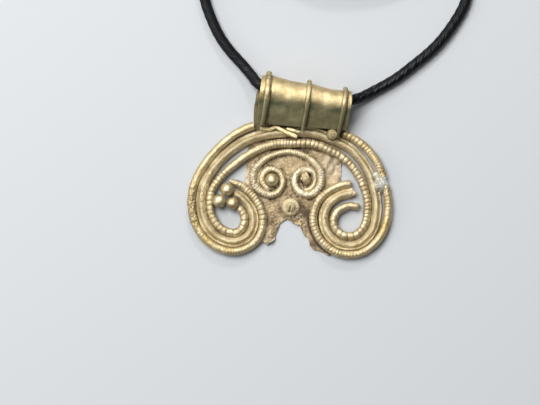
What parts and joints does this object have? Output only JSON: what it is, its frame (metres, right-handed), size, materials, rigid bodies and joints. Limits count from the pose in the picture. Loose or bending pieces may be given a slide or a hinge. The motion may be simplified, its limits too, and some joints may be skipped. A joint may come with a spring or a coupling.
{
  "type": "crescent amulet pendant",
  "caption": "Small gold filigree pendant: beaded and ridged wires bent to a crescent with scroll ends, a torn backing sheet, spiral eyes, grains and a rolled bail on a black waxed cord.",
  "frame": {"origin": "on the flat back of the backing sheet, midway between the scrolls", "axes": "+X across the crescent towards the viewer's right, +Y up the pendant towards the bail, +Z out of the front"},
  "size_m": [0.04, 0.0596, 0.0051],
  "materials": {
    "gold_wire": "worn antique gold wire, beaded in part, brown dirt in the grooves",
    "gold_sheet": "matt tan gold sheet, granular, torn",
    "gold_grain": "smooth gold balls, softly polished by wear",
    "bail_gold": "smooth rolled gold sheet, satin",
    "repair_solder": "rough greyish white solder",
    "waxed_cord": "black waxed cotton, twisted, satin"
  },
  "bodies": {
    "root": {"backing_sheet": "gold_sheet", "middle_wire": "gold_wire", "inner_wire": "gold_wire", "outer_wire_left": "gold_wire", "outer_wire_right_top": "gold_wire", "outer_wire_right_scroll": "gold_wire", "repair_solder": "repair_solder", "spectacle_wire": "gold_wire", "eye_grain_left": "gold_grain", "eye_cone_right": "gold_grain", "nose_cone": "gold_grain", "scroll_grain_top": "gold_grain", "scroll_grain_left": "gold_grain", "scroll_grain_right": "gold_grain", "bail": "bail_gold", "bail_wire_left": "bail_gold", "bail_wire_middle": "bail_gold", "bail_wire_right": "bail_gold", "bail_grain": "gold_grain", "bent_strip": "bail_gold", "short_strip": "bail_gold", "cord": "waxed_cord", "cord_coil": "waxed_cord"}
  },
  "joints": []
}
